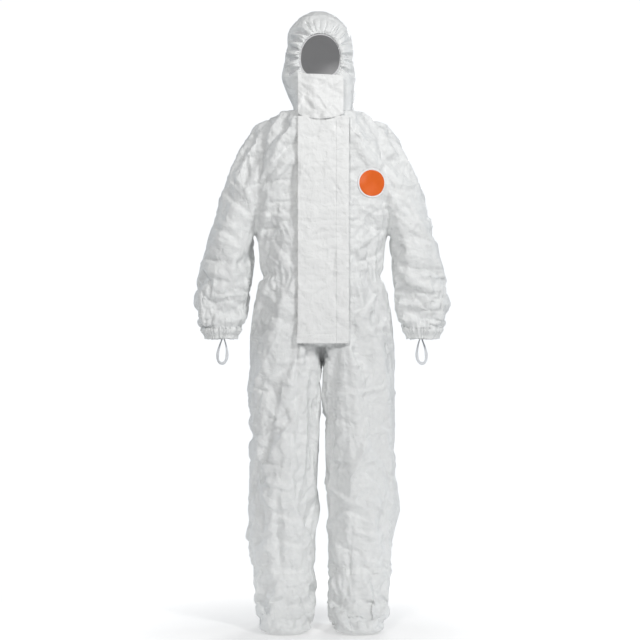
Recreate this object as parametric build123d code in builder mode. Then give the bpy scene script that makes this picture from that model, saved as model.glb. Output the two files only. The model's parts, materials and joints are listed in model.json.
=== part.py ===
"""Hooded chemical protective suit with attached socks, filled out as if it were worn.

Millimetres, +Z up, the wearer faces -Y and the wearer's left is +X. The origin is on the floor, in the
middle of the suit's bounding box. Fabric is modelled thicker than the real laminate, so that every panel
is a closed solid. Sections that bend with a joint are nodes of their own, between stiff runs of fabric.
"""

from build123d import *
import os
from math import asin, cos, sin

# Overall heights
crown_z = 1854
face_top_z = 1773
face_bottom_z = 1656
hood_z = 1600
neck_z = 1550
shoulder_z = 1430
armpit_z = 1218
waist_z = 1060
crotch_z = 852
thigh_z = 720
knee_z = 455
sock_z = 186
foot_z = 88

# Fabric
wall = 1.6
seam = 0.4
flap_wall = 1.0
back_y = 160
front_y = -110
toe_y = -160
heel_y = 116

# Arms
armhole_x = 196
arm_y = 15
elbow_z = 1120
cuff_z = 905
cuff_end_z = 868

# Thumb loops
loop_x = 298
loop_z = 858
loop_tape = 10
loop_wall = 1.2
loop_top_radius = 4
loop_bottom_radius = 18
loop_drop = 46

# Front closure, in layers that step forward of the front panels
zip_bottom_z = 868
zip_top_z = 1510
zip_gap = 6
tape_width = 15
teeth_reach = 3.1
tooth_pitch = 4
tooth_width = 1.7
slider_z = 1494
inner_flap_y = -117.2
outer_flap_y = -119.6
outer_flap_left = 84
outer_flap_right = -72
outer_flap_top_z = 1526
outer_flap_bottom_z = 856
inner_flap_left = 62
inner_flap_right = -44
inner_flap_top_z = 1512
inner_flap_bottom_z = 884
seam_tape_width = 12
adhesive_width = 20
adhesive_wall = 0.35
adhesive_inset = 3

# Chin flap, bent round the chin
chin_flap_left = 64
chin_flap_right = -72
chin_flap_bottom_z = 1536
chin_flap_top_z = 1658
chin_bend_radius = 236

# Chest patch
chest_radius = 100
badge_x = 151
badge_z = 1330
badge_radius = 43
badge_border = 4
badge_clearance = 1.6
badge_thickness = 0.6

# Each section is x, y, z, width, depth and corner radius
torso_sections = [
    (0, front_y + 134, crotch_z, 412, 268, 100),
    (0, front_y + 135, 950, 400, 270, 100),
    (0, front_y + 125, waist_z, 356, 250, 100),
    (0, front_y + 131, 1140, 358, 262, 100),
    (0, front_y + 135, 1215, 382, 270, 100),
    (0, front_y + 133, 1330, 392, 266, 100),
    (0, front_y + 123, shoulder_z, 388, 246, 100),
    (0, front_y + 116, 1500, 352, 232, 95),
    (0, front_y + 111, 1532, 292, 222, 92),
    (0, front_y + 105, neck_z, 204, 210, 90),
]
hood_sections = [
    (0, 7, hood_z, 206, 234, 90),
    (0, 19, 1660, 216, 258, 92),
    (0, 26, 1740, 208, 268, 92),
    (0, 28, 1800, 176, 222, 80),
    (0, 28, 1835, 116, 150, 52),
    (0, 28, crown_z, 46, 64, 20),
]
leg_sections = [
    (106, 24, crotch_z - 2, 200, 266, 88),
    (110, 20, thigh_z, 202, 240, 88),
    (113, 15, 575, 192, 226, 86),
    (117, 14, knee_z, 188, 220, 84),
    (120, 17, 335, 184, 212, 82),
    (116, 22, 240, 178, 204, 80),
    (113, 25, sock_z, 172, 198, 76),
]
# Each sleeve section is x, z, width and depth of an ellipse
sleeve_sections = [
    (176, 1425, 164, 178),
    (206, 1330, 178, 170),
    (260, armpit_z, 132, 158),
    (272, 1160, 142, 158),
    (280, elbow_z, 150, 156),
    (292, 1045, 158, 154),
    (303, 990, 162, 150),
    (306, 940, 152, 138),
    (304, cuff_z, 126, 118),
]
elbow_half = 76
knee_half = 118


def section_at(sections, z):
    """The section at height z, between the two stated ones around it."""
    place = 1 if len(sections[0]) == 4 else 2
    for above, below in zip(sections, sections[1:]):
        low, high = sorted((above[place], below[place]))
        if low <= z <= high:
            share = (z - above[place]) / (below[place] - above[place])
            return tuple(a + share * (b - a) for a, b in zip(above, below))
    raise ValueError(f"no section at {z}")


def run_of(sections, top_z, bottom_z):
    """The stated sections between two heights, with one cut at each end."""
    place = 1 if len(sections[0]) == 4 else 2
    between = [s for s in sections if bottom_z + 1 < s[place] < top_z - 1]
    downward = sorted(between, key=lambda s: -s[place])
    return [section_at(sections, top_z), *downward, section_at(sections, bottom_z)]


def rounded_tube(sections, thickness=wall, sink=0, closed=False):
    """Hollow fabric through rounded rectangles, its inside sunk where the outside slopes."""
    with BuildPart() as tube:
        for inset, drop, mode in ((0, 0, Mode.ADD), (thickness, sink, Mode.SUBTRACT)):
            for x, y, z, width, depth, radius in sections:
                with BuildSketch(Plane.XY.offset(z - drop)):
                    with Locations((x, y)):
                        RectangleRounded(width - 2 * inset, depth - 2 * inset, radius - inset)
            loft(ruled=True, mode=mode)
        if sink and not closed:
            x, y, z, width, depth, radius = sections[-1]
            with BuildSketch(Plane.XY.offset(z - 2 * sink)):
                with Locations((x, y)):
                    RectangleRounded(width - 2 * thickness, depth - 2 * thickness, radius - thickness)
            extrude(amount=3 * sink, mode=Mode.SUBTRACT)
    return tube.part


def sleeve_tube(sections, thickness=wall, sink=0):
    """Hollow fabric through ellipses, for the wearer's left arm. A sunk inside leaves the top closed."""
    with BuildPart() as tube:
        for inset, drop, mode in ((0, 0, Mode.ADD), (thickness, sink, Mode.SUBTRACT)):
            for x, z, width, depth in sections:
                with BuildSketch(Plane.XY.offset(z - drop)):
                    with Locations((x, arm_y)):
                        Ellipse(width / 2 - inset, depth / 2 - inset)
            loft(ruled=True, mode=mode)
    return tube.part


def save(part, name):
    """Labels a finished piece and writes it as its own STEP file."""
    part.label = name
    export_step(part, f"parts/{name}.step")


def save_pair(part, name):
    """Writes a piece of the wearer's left side, and its mirror image on the right."""
    save(part, f"{name}_left")
    with BuildPart() as other:
        add(part)
        mirror(about=Plane.YZ, mode=Mode.REPLACE)
    save(other.part, f"{name}_right")


def build_torso():
    """Two front panels that part at the zip, one back panel, and what is sewn to them."""
    shell = rounded_tube(torso_sections, sink=wall)
    seam_y = front_y + 133
    armhole_height = 1518 - armpit_z
    with BuildPart() as body:
        add(shell)
        with BuildSketch(Plane.YZ.offset(130)):
            with Locations((arm_y, armpit_z + armhole_height / 2)):
                Ellipse(84, armhole_height / 2)
        extrude(amount=100, mode=Mode.SUBTRACT)
        with BuildSketch(Plane.YZ.offset(-130)):
            with Locations((arm_y, armpit_z + armhole_height / 2)):
                Ellipse(84, armhole_height / 2)
        extrude(amount=-100, mode=Mode.SUBTRACT)
    with BuildPart() as front:
        add(body.part)
        with Locations((zip_gap, seam_y - seam / 2, 0)):
            Box(300, 300, 4000, align=(Align.MIN, Align.MAX, Align.CENTER), mode=Mode.INTERSECT)
    save_pair(front.part, "front_panel")
    with BuildPart() as back:
        add(body.part)
        with Locations((0, seam_y + seam / 2, 0)):
            Box(600, 300, 4000, align=(Align.CENTER, Align.MIN, Align.CENTER), mode=Mode.INTERSECT)
    save(back.part, "back_panel")

    band_height = 28
    x, y, z, width, depth, radius = section_at(torso_sections, waist_z)
    band_inset = wall + 1.2
    with BuildPart() as waist_elastic:
        with BuildSketch(Plane.XY.offset(waist_z - band_height / 2)):
            with Locations((x, y)):
                RectangleRounded(width - 2 * band_inset, depth - 2 * band_inset, radius - band_inset)
                RectangleRounded(
                    width - 2 * band_inset - 2.4,
                    depth - 2 * band_inset - 2.4,
                    radius - band_inset - 1.2,
                    mode=Mode.SUBTRACT,
                )
        extrude(amount=band_height)
        with Locations((0, front_y, waist_z)):
            Box(140, 60, 2 * band_height, mode=Mode.SUBTRACT)
    save(waist_elastic.part, "waist_elastic")

    with BuildPart() as gusset:
        with Locations((0, front_y + 134, crotch_z - 1.6)):
            Box(11, 190, 1.6)
    save(gusset.part, "crotch_gusset")

    with BuildPart() as size_label:
        with Locations((0, back_y - 62, 1482)):
            Box(48, 0.6, 58)
    save(size_label.part, "size_label")

    neck = [section_at(torso_sections, neck_z), section_at(hood_sections, hood_z)]
    neck[0] = (*neck[0][:2], neck_z + seam, *neck[0][3:])
    neck[1] = (*neck[1][:2], hood_z - seam, *neck[1][3:])
    save(rounded_tube(neck), "neck_section")


def build_badge():
    """A plain round chest patch with a narrow border, bent round the wearer's left chest."""
    corner_x = section_at(torso_sections, badge_z)[3] / 2 - chest_radius
    corner_y = front_y + chest_radius
    turn = asin((badge_x - corner_x) / chest_radius)
    facing = Plane(
        origin=(corner_x, corner_y, badge_z),
        x_dir=(cos(turn), sin(turn), 0),
        z_dir=(sin(turn), -cos(turn), 0),
    )
    patch_edge = badge_radius - badge_border
    bend_height = 2 * badge_radius + 20
    rounds = (("chest_badge", 0, patch_edge), ("badge_border", patch_edge + seam, badge_radius))
    for name, hole, edge in rounds:
        with BuildPart() as patch:
            with BuildSketch(Plane.XY.offset(badge_z - bend_height / 2)):
                with Locations((corner_x, corner_y)):
                    Circle(chest_radius + badge_clearance + badge_thickness)
                    Circle(chest_radius + badge_clearance, mode=Mode.SUBTRACT)
            extrude(amount=bend_height)
            with BuildSketch(facing):
                Circle(edge)
                if hole:
                    Circle(hole, mode=Mode.SUBTRACT)
            extrude(amount=2 * chest_radius, mode=Mode.INTERSECT)
        save(patch.part, name)


def build_zip():
    """Tapes, two rows of meshed teeth, stops, and the slider with a pull that turns on its stud."""
    with BuildPart() as tape:
        with Locations((teeth_reach + seam, front_y + wall + 0.3, zip_bottom_z)):
            Box(tape_width, 0.8, zip_top_z - zip_bottom_z + 10, align=(Align.MIN, Align.MIN, Align.MIN))
    save_pair(tape.part, "zip_tape")

    count = int((zip_top_z - zip_bottom_z) / tooth_pitch) - 1
    spine = 1.5
    row_top = zip_bottom_z + count * tooth_pitch
    for side, name in ((1, "zip_teeth_left"), (-1, "zip_teeth_right")):
        lift = 0 if side == 1 else tooth_pitch / 2
        outline = [(side * teeth_reach, zip_bottom_z)]
        for n in range(count):
            low = zip_bottom_z + n * tooth_pitch + lift + 0.1
            outline += [
                (side * spine, low),
                (-side * (spine - 0.2), low + 0.3),
                (-side * (spine - 0.2), low + tooth_width - 0.3),
                (side * spine, low + tooth_width),
            ]
        outline += [(side * teeth_reach, row_top)]
        with BuildPart() as teeth:
            with BuildSketch(Plane.XZ.offset(-(front_y + 3.4))):
                with BuildLine():
                    Polyline(*outline, close=True)
                make_face()
            extrude(amount=4)
        save(teeth.part, name)

    with BuildPart() as stops:
        with Locations((0, front_y + 1.2, zip_bottom_z - 6)):
            Box(5.6, 3.6, 10)
        with Locations((-2, front_y + 1.2, zip_top_z + 1), (2, front_y + 1.2, zip_top_z + 1)):
            Box(2.6, 3.6, 3.5)
    save(stops.part, "zip_stops")

    plate_y = front_y - 1.2
    with BuildPart() as slider:
        with BuildSketch(Plane.XZ.offset(-plate_y)):
            with Locations((0, slider_z)):
                Trapezoid(11.2, 15, 80)
        extrude(amount=1.8)
        with Locations((-4.6, plate_y, slider_z - 2), (4.6, plate_y, slider_z - 2)):
            Box(1.6, 2.6, 9, align=(Align.CENTER, Align.MIN, Align.CENTER))
        with BuildSketch(Plane.XZ.offset(-(plate_y - 1.8))):
            with Locations((0, slider_z)):
                Circle(1.5)
        extrude(amount=1.8)
        with BuildSketch(Plane.XZ.offset(-(plate_y - 3.3))):
            with Locations((0, slider_z)):
                Circle(2.4)
        extrude(amount=0.8)
    save(slider.part, "zip_slider")

    with BuildPart() as pull:
        with BuildSketch(Plane.XZ.offset(-(plate_y - 2.0))):
            with Locations((0, slider_z)):
                Circle(4.2)
            with Locations((0, slider_z - 17)):
                Rectangle(7, 34)
            with Locations((0, slider_z - 30)):
                RectangleRounded(10, 16, 3)
            with Locations((0, slider_z)):
                Circle(1.6, mode=Mode.SUBTRACT)
            with Locations((0, slider_z - 30)):
                SlotOverall(8, 3, rotation=90, mode=Mode.SUBTRACT)
        extrude(amount=1.1)
    save(pull.part, "zip_pull")


def flap(right_x, left_x, bottom_z, top_z, y, thickness=flap_wall):
    """A flat flap with rounded corners on its free edge, sewn along its left edge."""
    with BuildPart() as sheet:
        with Locations(((right_x + left_x) / 2, y, (bottom_z + top_z) / 2)):
            Box(left_x - right_x, thickness, top_z - bottom_z, align=(Align.CENTER, Align.MIN, Align.CENTER))
        free_corners = sheet.edges().filter_by(Axis.Y).group_by(Axis.X)[0]
        fillet(free_corners, radius=6)
    return sheet.part


def chin_sheet(right_x, left_x, bottom_z, top_z, inward, thickness):
    """A sheet that follows the chin flap's bend, a distance inward of the flap's front."""
    front = chin_bend_radius - inward
    with BuildPart() as sheet:
        with BuildSketch(Plane.XY.offset(bottom_z)):
            with Locations(((chin_flap_left + chin_flap_right) / 2, outer_flap_y + chin_bend_radius)):
                Circle(front)
                Circle(front - thickness, mode=Mode.SUBTRACT)
            with Locations(((right_x + left_x) / 2, outer_flap_y)):
                Rectangle(left_x - right_x, chin_bend_radius, mode=Mode.INTERSECT)
        extrude(amount=top_z - bottom_z)
    return sheet.part


def build_flaps():
    """The double storm flap and the chin flap, each with the adhesive tape along its free edge."""
    save(
        flap(outer_flap_right, outer_flap_left, outer_flap_bottom_z, outer_flap_top_z, outer_flap_y),
        "outer_storm_flap",
    )
    save(
        flap(inner_flap_right, inner_flap_left, inner_flap_bottom_z, inner_flap_top_z, inner_flap_y),
        "inner_storm_flap",
    )
    tapes = (
        ("outer_flap_adhesive_tape", outer_flap_right, outer_flap_y, 884, inner_flap_top_z),
        ("inner_flap_adhesive_tape", inner_flap_right, inner_flap_y, 900, 1500),
    )
    glue_gap = 0.05
    for name, edge_x, y, low, high in tapes:
        with BuildPart() as tape:
            with Locations((edge_x + adhesive_inset, y + flap_wall + glue_gap, low)):
                Box(adhesive_width, adhesive_wall, high - low, align=(Align.MIN, Align.MIN, Align.MIN))
        save(tape.part, name)

    chin_flap = chin_sheet(
        chin_flap_right, chin_flap_left, chin_flap_bottom_z, chin_flap_top_z, 0, flap_wall
    )
    save(chin_flap, "chin_flap")
    tape_edge = chin_flap_right + adhesive_inset
    chin_tape = chin_sheet(
        tape_edge,
        tape_edge + adhesive_width,
        chin_flap_bottom_z + 2 * adhesive_inset,
        chin_flap_top_z - 2 * adhesive_inset,
        flap_wall + glue_gap,
        adhesive_wall,
    )
    save(chin_tape, "chin_flap_adhesive_tape")

    seam_low = outer_flap_bottom_z + 14
    seam_height = outer_flap_top_z - 4 - seam_low
    with BuildPart() as over_tape:
        with Locations((outer_flap_left + 4, front_y - 1.2, seam_low)):
            Box(seam_tape_width, 0.8, seam_height, align=(Align.MIN, Align.MIN, Align.MIN))
        with Locations((outer_flap_left + 4, front_y - 7, seam_low)):
            Box(1, 6, seam_height, align=(Align.MIN, Align.MIN, Align.MIN))
    save(over_tape.part, "flap_seam_tape")


def build_hood():
    """A three-piece hood, of two sides and a strip over the crown, and its face elastic."""
    face_x = 66
    face_mid_z = 1706
    strip = 36
    shell = rounded_tube(hood_sections, thickness=2, sink=2, closed=True)
    with BuildPart() as hood:
        add(shell)
        with BuildSketch(Plane.XZ.offset(40)):
            with Locations((0, face_mid_z)):
                Ellipse(face_x, face_top_z - face_mid_z)
            with Locations((0, face_bottom_z)):
                Rectangle(2 * face_x, 100, align=(Align.CENTER, Align.MAX), mode=Mode.SUBTRACT)
        extrude(amount=120, mode=Mode.SUBTRACT)
    with BuildPart() as strip_space:
        with Locations((0, 0, hood_z - 10)):
            Box(2 * strip, 300, 400, align=(Align.CENTER, Align.MIN, Align.MIN))
        with Locations((0, 10, face_mid_z)):
            Box(2 * strip, 200, 300, align=(Align.CENTER, Align.MAX, Align.MIN))
    with BuildPart() as centre:
        add(hood.part)
        add(strip_space.part, mode=Mode.INTERSECT)
    save(centre.part, "hood_centre_strip")
    with BuildPart() as side:
        add(hood.part)
        add(strip_space.part, mode=Mode.SUBTRACT)
        with Locations((seam / 2, 0, hood_z)):
            Box(200, 600, 600, align=(Align.MIN, Align.CENTER, Align.CENTER), mode=Mode.INTERSECT)
    save_pair(side.part, "hood_side")
    with BuildPart() as elastic:
        with BuildSketch(Plane.XZ.offset(76)):
            with Locations((0, face_mid_z)):
                Ellipse(face_x + 6, face_top_z - face_mid_z + 5)
                Ellipse(face_x + 1, face_top_z - face_mid_z, mode=Mode.SUBTRACT)
        extrude(amount=4)
    save(elastic.part, "face_elastic")


def build_sleeve():
    """One sleeve from the shoulder cap to the inner cuff, mirrored for the other arm."""
    cap_sections = [(176, 1427, 164, 178), (166, 1470, 136, 148), (158, 1505, 100, 96), (156, 1524, 72, 50)]
    with BuildPart() as cap:
        add(sleeve_tube(cap_sections, sink=wall))
        for x, y, z, width, depth, radius in run_of(torso_sections, neck_z, 1380):
            with BuildSketch(Plane.XY.offset(z)):
                with Locations((x, y)):
                    RectangleRounded(width + 2 * seam, depth + 2 * seam, radius + seam)
        loft(ruled=True, mode=Mode.SUBTRACT)
    save_pair(cap.part, "shoulder_cap")
    with BuildPart() as upper:
        add(sleeve_tube(run_of(sleeve_sections, 1425, elbow_z + elbow_half)))
        with Locations((armhole_x + 2, 0, 1300)):
            Box(300, 400, 600, align=(Align.MIN, Align.CENTER, Align.CENTER), mode=Mode.INTERSECT)
    save_pair(upper.part, "upper_sleeve")
    bend = run_of(sleeve_sections, elbow_z + elbow_half - seam, elbow_z - elbow_half + seam)
    save_pair(sleeve_tube(bend), "elbow_section")
    save_pair(sleeve_tube(run_of(sleeve_sections, elbow_z - elbow_half, cuff_z)), "lower_sleeve")
    gathered = [(304, cuff_z - seam, 126, 118), (303, 886, 116, 106), (303, cuff_end_z, 96, 88)]
    save_pair(sleeve_tube(gathered), "outer_cuff")
    hem = [(303, 880, 101, 91), (303, 872, 94, 85)]
    save_pair(sleeve_tube(hem, thickness=1.2), "wrist_elastic")
    inner = [(303, 950, 96, 88), (303, 905, 84, 76), (303, cuff_end_z - 2, 74, 66)]
    save_pair(sleeve_tube(inner), "inner_cuff")


def build_thumb_loops():
    """A loop of elastic tape that hangs from each inner cuff."""
    loop_plane = Plane(origin=(loop_x, arm_y, loop_z), x_dir=(1, 0, 0), z_dir=(0, -1, 0))
    with BuildPart() as loop:
        with BuildSketch(loop_plane.offset(-loop_tape / 2)):
            for mode, inset in ((Mode.ADD, 0), (Mode.SUBTRACT, loop_wall)):
                with BuildSketch(mode=Mode.PRIVATE) as drop:
                    Circle(loop_top_radius - inset)
                    with Locations((0, -loop_drop)):
                        Circle(loop_bottom_radius - inset)
                    make_hull()
                add(drop.sketch, mode=mode)
        extrude(amount=loop_tape)
    save_pair(loop.part, "thumb_loop")


def build_leg():
    """One leg from the hip crease to the sock, mirrored for the other leg."""
    save_pair(rounded_tube(run_of(leg_sections, crotch_z - 2, thigh_z + seam)), "hip_section")
    save_pair(rounded_tube(run_of(leg_sections, thigh_z, knee_z + knee_half)), "thigh")
    bend = run_of(leg_sections, knee_z + knee_half - seam, knee_z - knee_half + seam)
    save_pair(rounded_tube(bend), "knee_section")
    save_pair(rounded_tube(run_of(leg_sections, knee_z - knee_half, sock_z)), "shin")

    x, y, z, width, depth, radius = section_at(leg_sections, sock_z)
    band = wall + 0.6
    elastic_sections = [
        (x, y, height, width - 2 * band, depth - 2 * band, radius - band) for height in (196, 184)
    ]
    save_pair(rounded_tube(elastic_sections, thickness=1.2), "ankle_elastic")

    ankle = [(x, y, sock_z - seam, width, depth, radius), (111, 12, foot_z + seam, 164, 206, 74)]
    save_pair(rounded_tube(ankle), "sock_ankle")
    foot_depth = heel_y - toe_y
    foot_sections = [
        (111, 12, foot_z, 164, 206, 74),
        (110, -13, 44, 160, 256, 72),
        (109, (heel_y + toe_y) / 2, 0, 140, foot_depth, 62),
    ]
    with BuildPart() as foot:
        for x, y, z, width, depth, radius in foot_sections:
            with BuildSketch(Plane.XY.offset(z)):
                with Locations((x, y)):
                    RectangleRounded(width, depth, radius)
        loft(ruled=True)
        for x, y, z, width, depth, radius in foot_sections:
            with BuildSketch(Plane.XY.offset(max(z, wall))):
                with Locations((x, y)):
                    RectangleRounded(width - 2 * wall, depth - 2 * wall, radius - wall)
        loft(ruled=True, mode=Mode.SUBTRACT)
    save_pair(foot.part, "sock_foot")


os.makedirs("parts", exist_ok=True)
build_torso()
build_badge()
build_zip()
build_flaps()
build_hood()
build_sleeve()
build_thumb_loops()
build_leg()
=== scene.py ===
"""White hooded chemical protective suit, filled out as if it were worn, in plain studio light.

The fabric is one skin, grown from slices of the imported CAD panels, wrinkled by a cloth simulation and sharp
creases, and cut into panels that bend with the joints. Closure, hood and trim are pieces of their own.
"""

import json
import math
import random

import bmesh
import bpy
import numpy as np
from mathutils import Matrix, Vector
from mathutils.bvhtree import BVHTree
from mathutils.kdtree import KDTree


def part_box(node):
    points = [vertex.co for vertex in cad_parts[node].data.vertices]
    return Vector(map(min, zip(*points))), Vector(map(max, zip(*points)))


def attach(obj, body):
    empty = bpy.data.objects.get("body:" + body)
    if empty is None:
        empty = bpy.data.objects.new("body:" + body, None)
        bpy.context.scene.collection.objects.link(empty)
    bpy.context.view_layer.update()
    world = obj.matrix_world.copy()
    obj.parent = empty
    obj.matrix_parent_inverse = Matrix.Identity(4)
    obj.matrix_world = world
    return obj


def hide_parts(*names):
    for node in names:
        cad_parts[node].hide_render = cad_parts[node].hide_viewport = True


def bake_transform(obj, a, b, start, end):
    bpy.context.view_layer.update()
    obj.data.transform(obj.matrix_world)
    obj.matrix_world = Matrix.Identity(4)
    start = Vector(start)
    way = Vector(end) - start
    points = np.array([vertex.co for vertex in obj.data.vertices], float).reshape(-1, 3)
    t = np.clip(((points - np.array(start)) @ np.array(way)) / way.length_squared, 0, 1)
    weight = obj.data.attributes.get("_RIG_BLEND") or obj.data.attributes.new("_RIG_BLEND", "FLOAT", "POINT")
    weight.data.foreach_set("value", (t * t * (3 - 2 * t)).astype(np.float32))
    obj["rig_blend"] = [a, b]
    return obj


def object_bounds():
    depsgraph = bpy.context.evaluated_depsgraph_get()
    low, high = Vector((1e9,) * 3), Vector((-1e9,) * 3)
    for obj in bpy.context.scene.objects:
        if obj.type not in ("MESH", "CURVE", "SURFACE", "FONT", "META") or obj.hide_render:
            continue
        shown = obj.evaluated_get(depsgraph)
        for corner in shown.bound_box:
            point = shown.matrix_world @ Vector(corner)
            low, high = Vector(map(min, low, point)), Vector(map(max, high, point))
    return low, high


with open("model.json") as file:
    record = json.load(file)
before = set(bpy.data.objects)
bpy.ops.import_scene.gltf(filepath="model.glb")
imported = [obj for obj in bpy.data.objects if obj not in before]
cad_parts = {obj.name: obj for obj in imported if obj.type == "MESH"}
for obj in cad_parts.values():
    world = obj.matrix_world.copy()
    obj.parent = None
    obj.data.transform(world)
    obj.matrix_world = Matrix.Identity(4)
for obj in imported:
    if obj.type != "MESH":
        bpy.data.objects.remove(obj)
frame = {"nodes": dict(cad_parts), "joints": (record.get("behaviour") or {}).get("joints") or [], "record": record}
cad_box = [list(corner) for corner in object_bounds()]
scene = bpy.context.scene
joints = {j["name"]: j for j in frame["joints"]}
draw = random.Random(11)
rng = np.random.default_rng(11)

# Sizes in metres
voxel = 0.008
sides = (("left", 1), ("right", -1))

hip_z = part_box("hip_section_left")[1][2]
thigh_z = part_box("thigh_left")[1][2]
sock_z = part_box("sock_ankle_left")[1][2]
neck_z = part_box("neck_section")[0][2]
waist_z = sum(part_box("waist_elastic")[i][2] for i in (0, 1)) / 2
cuff_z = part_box("outer_cuff_left")[1][2]
cuff_end_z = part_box("outer_cuff_left")[0][2]
shoulder = Vector(joints["shoulder_raise_left"]["pos_m"])
elbow = Vector(joints["elbow_bend_left"]["pos_m"])
knee = Vector(joints["knee_bend_left"]["pos_m"])
front_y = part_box("front_panel_left")[0][1]

trunk_nodes = ("front_panel_left", "front_panel_right", "back_panel")
leg_nodes = ("hip_section", "thigh", "knee_section", "shin", "sock_ankle", "sock_foot")
arm_nodes = ("shoulder_cap", "upper_sleeve", "elbow_section", "lower_sleeve", "outer_cuff")

# The stretch of the front that the closure lies on, from the wearer's right to left, and its lowest point
closure_right, closure_left, closure_bottom = -0.066, 0.082, 0.862

# A value of the seam attribute that is too far from a seam to show one
no_seam = 0.05

laminate_light = (0.86, 0.87, 0.865, 1)
laminate_shade = (0.80, 0.81, 0.81, 1)


def smooth(low, high, x):
    """0 below low, 1 above high, and a smooth step between."""
    t = np.clip((np.asarray(x, float) - low) / (high - low), 0, 1)
    return t * t * (3 - 2 * t)


def new_object(name, vertices, faces):
    mesh = bpy.data.meshes.new(name)
    mesh.from_pydata([tuple(v) for v in vertices], [], [tuple(f) for f in faces])
    mesh.update()
    made = bpy.data.objects.new(name, mesh)
    scene.collection.objects.link(made)
    return made


def points_of(obj):
    flat = np.empty(3 * len(obj.data.vertices))
    obj.data.vertices.foreach_get("co", flat)
    return flat.reshape(-1, 3)


def set_points(obj, points):
    obj.data.vertices.foreach_set("co", np.asarray(points, float).ravel())
    obj.data.update()


def normals_of(obj):
    flat = np.empty(3 * len(obj.data.vertices))
    obj.data.vertex_normals.foreach_get("vector", flat)
    return flat.reshape(-1, 3)


def apply_all(obj):
    """Makes the evaluated mesh the object's own, so that no modifier is left."""
    evaluated = obj.evaluated_get(bpy.context.evaluated_depsgraph_get())
    mesh = bpy.data.meshes.new_from_object(evaluated)
    obj.modifiers.clear()
    old = obj.data
    obj.data = mesh
    bpy.data.meshes.remove(old)
    return obj


def tree_of(obj):
    """A search tree of an object's faces, for rays and nearest points."""
    mesh = obj.data
    return BVHTree.FromPolygons([v.co for v in mesh.vertices], [p.vertices for p in mesh.polygons])


# Slices of the CAD panels


def slice_hull(nodes, z, count, centre=None):
    """The outline of the nodes at height z, as count points at even angles round the slice's centre."""
    crossings = []
    for name in nodes:
        mesh = frame["nodes"][name].data
        points = points_of(frame["nodes"][name])
        ends = np.empty(2 * len(mesh.edges), int)
        mesh.edges.foreach_get("vertices", ends)
        a, b = points[ends[0::2]], points[ends[1::2]]
        cut = (a[:, 2] - z) * (b[:, 2] - z) < 0
        a, b = a[cut], b[cut]
        share = ((z - a[:, 2]) / (b[:, 2] - a[:, 2]))[:, None]
        crossings.append((a + share * (b - a))[:, :2])
    flat = np.concatenate(crossings)
    middle = (flat.min(0) + flat.max(0)) / 2 if centre is None else np.array(centre)
    outline = []
    hull = convex_hull(flat)
    for k in range(count):
        angle = 2 * math.pi * k / count
        way = np.array([math.cos(angle), math.sin(angle)])
        outline.append(ray_out(hull, middle, way))
    return [(x, y, z) for x, y in outline]


def convex_hull(points):
    ordered = sorted(map(tuple, np.round(points, 5)))

    def half(run):
        out = []
        for p in run:
            while len(out) > 1 and cross(out[-2], out[-1], p) <= 0:
                out.pop()
            out.append(p)
        return out[:-1]

    return np.array(half(ordered) + half(ordered[::-1]))


def cross(o, a, b):
    return (a[0] - o[0]) * (b[1] - o[1]) - (a[1] - o[1]) * (b[0] - o[0])


def ray_out(hull, middle, way):
    """Where a ray from the middle leaves a convex outline."""
    a = hull - middle
    edge = np.roll(hull, -1, axis=0) - hull
    below = way[0] * edge[:, 1] - way[1] * edge[:, 0]
    with np.errstate(divide="ignore", invalid="ignore"):
        far = (a[:, 0] * edge[:, 1] - a[:, 1] * edge[:, 0]) / below
        along = (a[:, 0] * way[1] - a[:, 1] * way[0]) / below
    good = (far > 0) & (along >= -1e-6) & (along <= 1 + 1e-6)
    return middle + way * far[good].max()


def tube_faces(rings, count, closed=True):
    faces = []
    for row in range(rings - 1):
        for k in range(count):
            after = (k + 1) % count
            low, high = row * count, (row + 1) * count
            faces.append((low + k, low + after, high + after, high + k))
    if closed:
        faces.append(tuple(range(count))[::-1])
        faces.append(tuple(range((rings - 1) * count, rings * count)))
    return faces


def grow_skin():
    """One closed skin round torso, sleeves, legs and socks."""
    count = 72
    step = 0.0151
    vertices, faces = [], []

    def add_tube(rings):
        start = len(vertices)
        for ring in rings:
            vertices.extend(ring)
        faces.extend(tuple(i + start for i in f) for f in tube_faces(len(rings), count))

    heights = list(np.arange(hip_z + 0.004, neck_z - 0.001, 0.016)) + [neck_z - 0.001]
    add_tube([slice_hull(trunk_nodes, z, count) for z in heights])
    for side, sign in sides:
        leg = [f"{n}_{side}" for n in leg_nodes]
        rings = [slice_hull(leg, z, count) for z in np.arange(0.0006, hip_z, step)]
        rings.append([(x, y, hip_z + 0.03) for x, y, _ in rings[-1]])
        add_tube(rings)
        arm = [f"{n}_{side}" for n in arm_nodes]
        heights = np.arange(cuff_end_z + 0.001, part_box("shoulder_cap_left")[1][2] - 0.002, step)
        add_tube([arm_slice(arm, sign, z, count) for z in heights])
        add_tube(shoulder_roof(sign, count))
    skin = new_object("suit_skin", vertices, faces)
    mesh = bmesh.new()
    mesh.from_mesh(skin.data)
    bmesh.ops.recalc_face_normals(mesh, faces=mesh.faces)
    mesh.to_mesh(skin.data)
    mesh.free()
    remesh = skin.modifiers.new("even cells", "REMESH")
    remesh.mode = "VOXEL"
    remesh.voxel_size = voxel
    soften = skin.modifiers.new("soft joins", "SMOOTH")
    soften.factor = 0.5
    soften.iterations = 10
    return apply_all(skin)


def shoulder_roof(sign, count):
    """Rings along the top of a shoulder, from the neck out to the sleeve, so that the line is unbroken."""
    rings = []
    thick = 0.03
    turns = [2 * math.pi * k / count for k in range(count)]
    for share in np.linspace(0, 1, 12):
        x = 0.085 + 0.115 * share
        middle = neck_z - 0.008 - 0.034 * share - thick
        deep = 0.088 - 0.036 * share
        rings.append([(sign * x, 0.006 + deep * math.cos(t), middle + thick * math.sin(t)) for t in turns])
    return rings


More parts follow.
